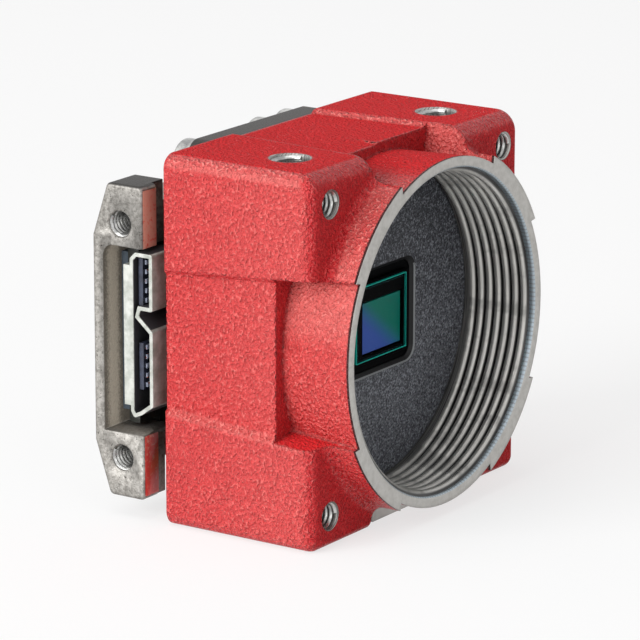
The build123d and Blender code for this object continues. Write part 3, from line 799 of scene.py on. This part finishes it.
def sheetFinish():
    # bright sheet with painted shade on its inside, past the lip
    look = Finish("socketSheet")
    wide = look.noise(1.0, 3.0, 0.6)
    fine = look.noise(5.0, 2.0, 0.5)
    shadedInside = look.above(look.x, socket["lip"], socket["lipLine"])
    shadedInside = shadedInside * look.above(look.depth, socket["front"], socket["mouthLine"])
    shadedInside = shadedInside * look.below(look.depth, socket["rear"], socket["mouthLine"])
    colour = look.blend(look.between(wide, 0.3, 0.7), socket["light"], socket["shade"])
    colour = look.blend(shadedInside, colour, socket["dark"])
    normal = look.lift(fine, 0.4, socket["relief"], look.soften(socket["edge"]))
    rough = socket["rough"] + (fine - 0.5) * 0.15
    return look.surface(Base_Color=colour, Metallic=0.25 - shadedInside * 0.25, Roughness=rough, Normal=normal)


def paintCadNodes():
    plain = {name: plainFinish(name, **tones) for name, tones in smallParts.items()}
    wearers = (
        (housingFinish(), ["front_housing"]),
        (boardFinish(), ["sensor_board", "processing_board", "interface_board"]),
        (sheetFinish(), ["socket_shell"]),
        (contactFinish(), ["socket_contacts"]),
        (plain["tonguePlastic"], ["socket_insulator"]),
        (plain["connectorPlastic"], ["mezzanine_header", "mezzanine_socket", "rear_header", "rear_socket"]),
        (plain["chipMould"], ["image_processor", "memory_chip", "interface_controller"]),
        (plain["coilFerrite"], ["power_coils"]),
        (plain["capacitorCeramic"], ["board_capacitors"]),
        (plain["headerPlastic"], ["io_header"]),
        (plain["pinPlating"], ["io_pins"]),
        (plain["thermalPad"], ["thermal_pad"]),
        (plain["spacerBrass"], ["frame_spacers", "inner_spacers"]),
        (plain["screwSteel"], ["frame_screws", "board_screws", "interface_screws"]),
    )
    for look, names in wearers:
        for name in names:
            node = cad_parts[name]
            if not node.material_slots:
                node.data.materials.append(look)
            for place in node.material_slots:
                place.material = look
    print("materials on", sum(len(names) for _, names in wearers), "pieces")
    return plain["screwSteel"]


# Threads: a ridge that winds up each hole of a pattern, made by one tree
lensRidge = {"Radius": 12.72, "Pitch": 0.794, "Height": 0.42, "Root": 0.78, "Crest": 0.32, "Steps": 128}
largeRidge = {"Radius": 1.51, "Pitch": 0.5, "Height": 0.26, "Root": 0.43, "Crest": 0.09, "Steps": 36}
smallRidge = {"Radius": 1.01, "Pitch": 0.4, "Height": 0.2, "Root": 0.34, "Crest": 0.07, "Steps": 32}
frontSpacing = 2 * casting["frontHoleSpread"]
topSpacing = 2 * casting["topHoleSpread"]
lockSpacing = 18.4
threads = {
    "lens_thread": {"ridge": lensRidge, "turns": 7.0, "start": 0.5, "holes": (1, 1), "spacing": (0.0, 0.0)},
    "front_threads": {
        "ridge": smallRidge, "turns": 7.0, "start": 0.25,
        "holes": (2, 2), "spacing": (frontSpacing, frontSpacing),
    },
    "top_threads": {
        "ridge": largeRidge, "turns": 7.0, "start": 0.3,
        "holes": (2, 1), "spacing": (topSpacing, 0.0),
    },
    "lock_threads": {
        "ridge": smallRidge, "turns": 7.6, "start": 0.28,
        "holes": (1, 2), "spacing": (0.0, lockSpacing),
    },
}
threads["bottom_threads"] = threads["top_threads"]
ridgeSharpAngle = math.radians(80)


def threadTree():
    tree = bpy.data.node_groups.new("threadRidge", "GeometryNodeTree")
    lengths = ("Radius", "Pitch", "Height", "Root", "Crest", "Spacing X", "Spacing Y", "Start")
    for name in lengths + ("Turns",):
        tree.interface.new_socket(name, in_out="INPUT", socket_type="NodeSocketFloat")
    for name in ("Steps", "Columns", "Rows"):
        tree.interface.new_socket(name, in_out="INPUT", socket_type="NodeSocketInt")
    tree.interface.new_socket("Finish", in_out="INPUT", socket_type="NodeSocketMaterial")
    tree.interface.new_socket("Geometry", in_out="OUTPUT", socket_type="NodeSocketGeometry")
    build = NodeTree(tree)
    given = build.node("NodeGroupInput")
    size = {name: given.out(name) for name in lengths + ("Turns", "Steps", "Columns", "Rows", "Finish")}
    spiral = build.node(
        "GeometryNodeCurveSpiral",
        {},
        {
            "Resolution": size["Steps"],
            "Rotations": size["Turns"],
            "Start Radius": size["Radius"],
            "End Radius": size["Radius"],
            "Height": size["Pitch"] * size["Turns"],
        },
    )
    level = build.node("GeometryNodeSetCurveNormal", {"mode": "Z_UP"}, {"Curve": spiral})
    # the ridge grows out of the wall and runs back into it over its first and last part
    along = build.node("GeometryNodeSplineParameter", output="Factor")
    fromEnd = build.node("ShaderNodeMath", {"operation": "MINIMUM"}, {0: along, 1: 1 - along})
    ends = {"Value": fromEnd, "From Max": 0.05, "To Min": 0.03}
    grow = build.node("ShaderNodeMapRange", {"clamp": True}, ends)
    shaped = build.node("GeometryNodeSetCurveRadius", {}, {"Curve": level, "Radius": grow})
    profile = build.node(
        "GeometryNodeCurvePrimitiveQuadrilateral",
        {"mode": "TRAPEZOID"},
        {"Bottom Width": size["Root"], "Top Width": size["Crest"], "Height": size["Height"], "Offset": 0.0},
    )
    inward = build.node("ShaderNodeCombineXYZ", {}, {"X": size["Height"] * 0.5})
    onSide = (0, 0, -math.pi / 2)
    stood = build.node(
        "GeometryNodeTransform", {}, {"Geometry": profile, "Translation": inward, "Rotation": onSide}
    )
    ridge = build.node(
        "GeometryNodeCurveToMesh", {}, {"Curve": shaped, "Profile Curve": stood, "Fill Caps": True}
    )
    down = build.node("ShaderNodeCombineXYZ", {}, {"Z": 0 - size["Start"] - size["Pitch"] * size["Turns"]})
    placed = build.node("GeometryNodeTransform", {}, {"Geometry": ridge, "Translation": down})
    holes = build.node(
        "GeometryNodeMeshGrid",
        {},
        {
            "Size X": size["Spacing X"],
            "Size Y": size["Spacing Y"],
            "Vertices X": size["Columns"],
            "Vertices Y": size["Rows"],
        },
    )
    spots = build.node("GeometryNodeMeshToPoints", {}, {"Mesh": holes})
    copies = build.node("GeometryNodeInstanceOnPoints", {}, {"Points": spots, "Instance": placed})
    whole = build.node("GeometryNodeRealizeInstances", {}, {"Geometry": copies})
    painted = build.node("GeometryNodeSetMaterial", {}, {"Geometry": whole, "Material": size["Finish"]})
    build.node("NodeGroupOutput", {}, {"Geometry": painted})
    return tree


def meshFromTree(name, tree, values, place):
    # runs a tree on an empty mesh, keeps the plain result in its place, and rides it on the body
    carrier = bpy.data.objects.new(name + "_carrier", bpy.data.meshes.new(name + "_carrier"))
    bpy.context.collection.objects.link(carrier)
    run = carrier.modifiers.new("build", "NODES")
    run.node_group = tree
    for item in tree.interface.items_tree:
        if item.item_type == "SOCKET" and item.in_out == "INPUT" and item.name in values:
            run[item.identifier] = values[item.name]
    settled = carrier.evaluated_get(bpy.context.evaluated_depsgraph_get())
    mesh = bpy.data.meshes.new_from_object(settled)
    mesh.transform(place)
    mesh.name = name
    mesh.shade_smooth()
    mesh.set_sharp_from_angle(angle=ridgeSharpAngle)
    bpy.data.objects.remove(carrier)
    piece = bpy.data.objects.new(name, mesh)
    bpy.context.collection.objects.link(piece)
    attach(piece, "root")
    print(name, len(mesh.polygons), "faces")
    return piece


def facing(direction, right, origin):
    # the tree's +Z looks along direction, its +X along right; origin in mm from the ring and the axis
    out = Vector(direction).normalized()
    side = Vector(right).normalized()
    up = out.cross(side)
    turn = Matrix((side, up, out)).transposed().to_4x4()
    x, depth, height = origin
    spot = Matrix.Translation((x, depth + layout["ringDepth"], height + layout["axisHeight"]))
    return Matrix.Scale(mm, 4) @ spot @ turn


# Turned metal of the thread: painted shade in the grooves, pale crests
turned = {
    "crestOuter": 12.56,
    "crestInner": 12.38,
    "grooveShade": rgb(36, 35, 35),
    "crest": rgb(206, 204, 199),
    "mark": rgb(96, 95, 94),
    "worn": rgb(60, 59, 60),
}


def boreFinish():
    look = Finish("threadMetal")
    ring = look.radius(look.x, look.height)
    crest = look.between(ring, turned["crestOuter"], turned["crestInner"])
    marks = turnedMarks(look, 0.3)
    worn = look.noise(0.5, 3.0, 0.6, 0.0, (1, 0.2, 1))
    # painted shade in the grooves
    colour = look.blend(crest, turned["grooveShade"], turned["crest"])
    colour = look.blend(look.between(marks, 0.4, 0.7) * 0.4, colour, turned["mark"])
    colour = look.blend(look.between(worn, 0.5, 0.65) * 0.4, colour, turned["worn"])
    return look.surface(Base_Color=colour, Metallic=0.55, Roughness=0.34)


def threadPieces(steel):
    tree = threadTree()
    bore = boreFinish()
    half = layout["half"]
    lockSpot = (-half, layout["lockHoleDepth"], layout["lockHoleMiddle"])
    places = {
        "lens_thread": facing((0, -1, 0), (-1, 0, 0), (0, 0, 0)),
        "front_threads": facing((0, -1, 0), (1, 0, 0), (0, layout["barrelReach"], 0)),
        "top_threads": facing((0, 0, 1), (1, 0, 0), (0, casting["topHoleDepth"], half)),
        "bottom_threads": facing((0, 0, -1), (1, 0, 0), (0, casting["topHoleDepth"], -half)),
        "lock_threads": facing((-1, 0, 0), (0, -1, 0), lockSpot),
    }
    for name, place in places.items():
        thread = threads[name]
        values = dict(thread["ridge"], Turns=thread["turns"], Start=thread["start"])
        values["Columns"], values["Rows"] = thread["holes"]
        values["Spacing X"], values["Spacing Y"] = thread["spacing"]
        values["Finish"] = bore if name == "lens_thread" else steel
        piece = meshFromTree(name, tree, values, place)


# Studio: white floor and background, a large soft light on the left, one above and a weak one in front
studio = {
    "floorSize": 6.0,
    "floorColour": rgb(250, 250, 250),
    "floorGlow": 0.7,
    "ambient": 0.42,
    "lamps": {
        "keyLeft": {"from": (-0.75, 0.22, 0.28), "size": 0.6, "power": 7.6},
        "above": {"from": (-0.2, 0.1, 0.8), "size": 0.5, "power": 1.5},
        "frontFill": {"from": (-0.35, -0.75, 0.2), "size": 0.4, "power": 0.7},
    },
}


def addStudio():
    size = studio["floorSize"] / 2
    mesh = bpy.data.meshes.new("floor")
    corners = [(-size, -size, 0), (size, -size, 0), (size, size, 0), (-size, size, 0)]
    mesh.from_pydata(corners, [], [(0, 1, 2, 3)])
    floor = bpy.data.objects.new("floor", mesh)
    bpy.context.collection.objects.link(floor)
    look = Finish("floorPaper")
    paper = look.node("ShaderNodeBsdfDiffuse", {}, {"Color": studio["floorColour"]})
    glow = look.node("ShaderNodeEmission", {}, {"Color": (1, 1, 1, 1), "Strength": 1.0})
    shine = look.seenDirectly() * studio["floorGlow"]
    mixed = look.node("ShaderNodeMixShader", {}, {0: shine, 1: paper, 2: glow})
    look.node("ShaderNodeOutputMaterial", {}, {"Surface": mixed})
    mesh.materials.append(look.material)

    world = bpy.data.worlds.new("studioWorld")
    bpy.context.scene.world = world
    world.use_nodes = True
    sky = NodeTree(world.node_tree)
    world.node_tree.nodes.clear()
    direct = sky.seenDirectly()
    strength = direct + (1 - direct) * studio["ambient"]
    back = sky.node("ShaderNodeBackground", {}, {"Color": (1, 1, 1, 1), "Strength": strength})
    sky.node("ShaderNodeOutputWorld", {}, {"Surface": back})

    target = Vector((0, 0, layout["axisHeight"] * mm))
    for name, lamp in studio["lamps"].items():
        light = bpy.data.lights.new(name, "AREA")
        light.shape = "SQUARE"
        light.size = lamp["size"]
        light.energy = lamp["power"]
        holder = bpy.data.objects.new(name, light)
        holder.location = lamp["from"]
        holder.rotation_euler = (target - Vector(lamp["from"])).to_track_quat("-Z", "Y").to_euler()
        bpy.context.collection.objects.link(holder)
    print("studio ready")


# Camera: the photograph's viewing angle and lens
shot = {
    "place": (-0.26819, -0.18199, 0.09987),
    "azimuth": 55.7876,
    "down": 14.8765,
    "roll": 0.0604,
    "lens": 243.2,
    "sensor": 36.0,
    "clipStart": 0.01,
}


def addCamera():
    azimuth, down, roll = (math.radians(shot[name]) for name in ("azimuth", "down", "roll"))
    level = math.cos(down)
    forward = Vector((math.sin(azimuth) * level, math.cos(azimuth) * level, -math.sin(down)))
    right = Vector((math.cos(azimuth), -math.sin(azimuth), 0))
    up = right.cross(forward)
    turnedRight = right * math.cos(roll) + up * math.sin(roll)
    turnedUp = up * math.cos(roll) - right * math.sin(roll)
    eye = bpy.data.cameras.new("camera")
    eye.lens = shot["lens"]
    eye.sensor_width = shot["sensor"]
    eye.clip_start = shot["clipStart"]
    holder = bpy.data.objects.new("camera", eye)
    axes = Matrix((turnedRight, turnedUp, -forward)).transposed().to_4x4()
    holder.matrix_world = Matrix.Translation(shot["place"]) @ axes
    bpy.context.collection.objects.link(holder)
    bpy.context.scene.camera = holder
    bpy.context.scene.view_settings.view_transform = "Standard"


steelFinish = paintCadNodes()
notchedFrame()
sensorPieces()
threadPieces(steelFinish)
addStudio()
addCamera()
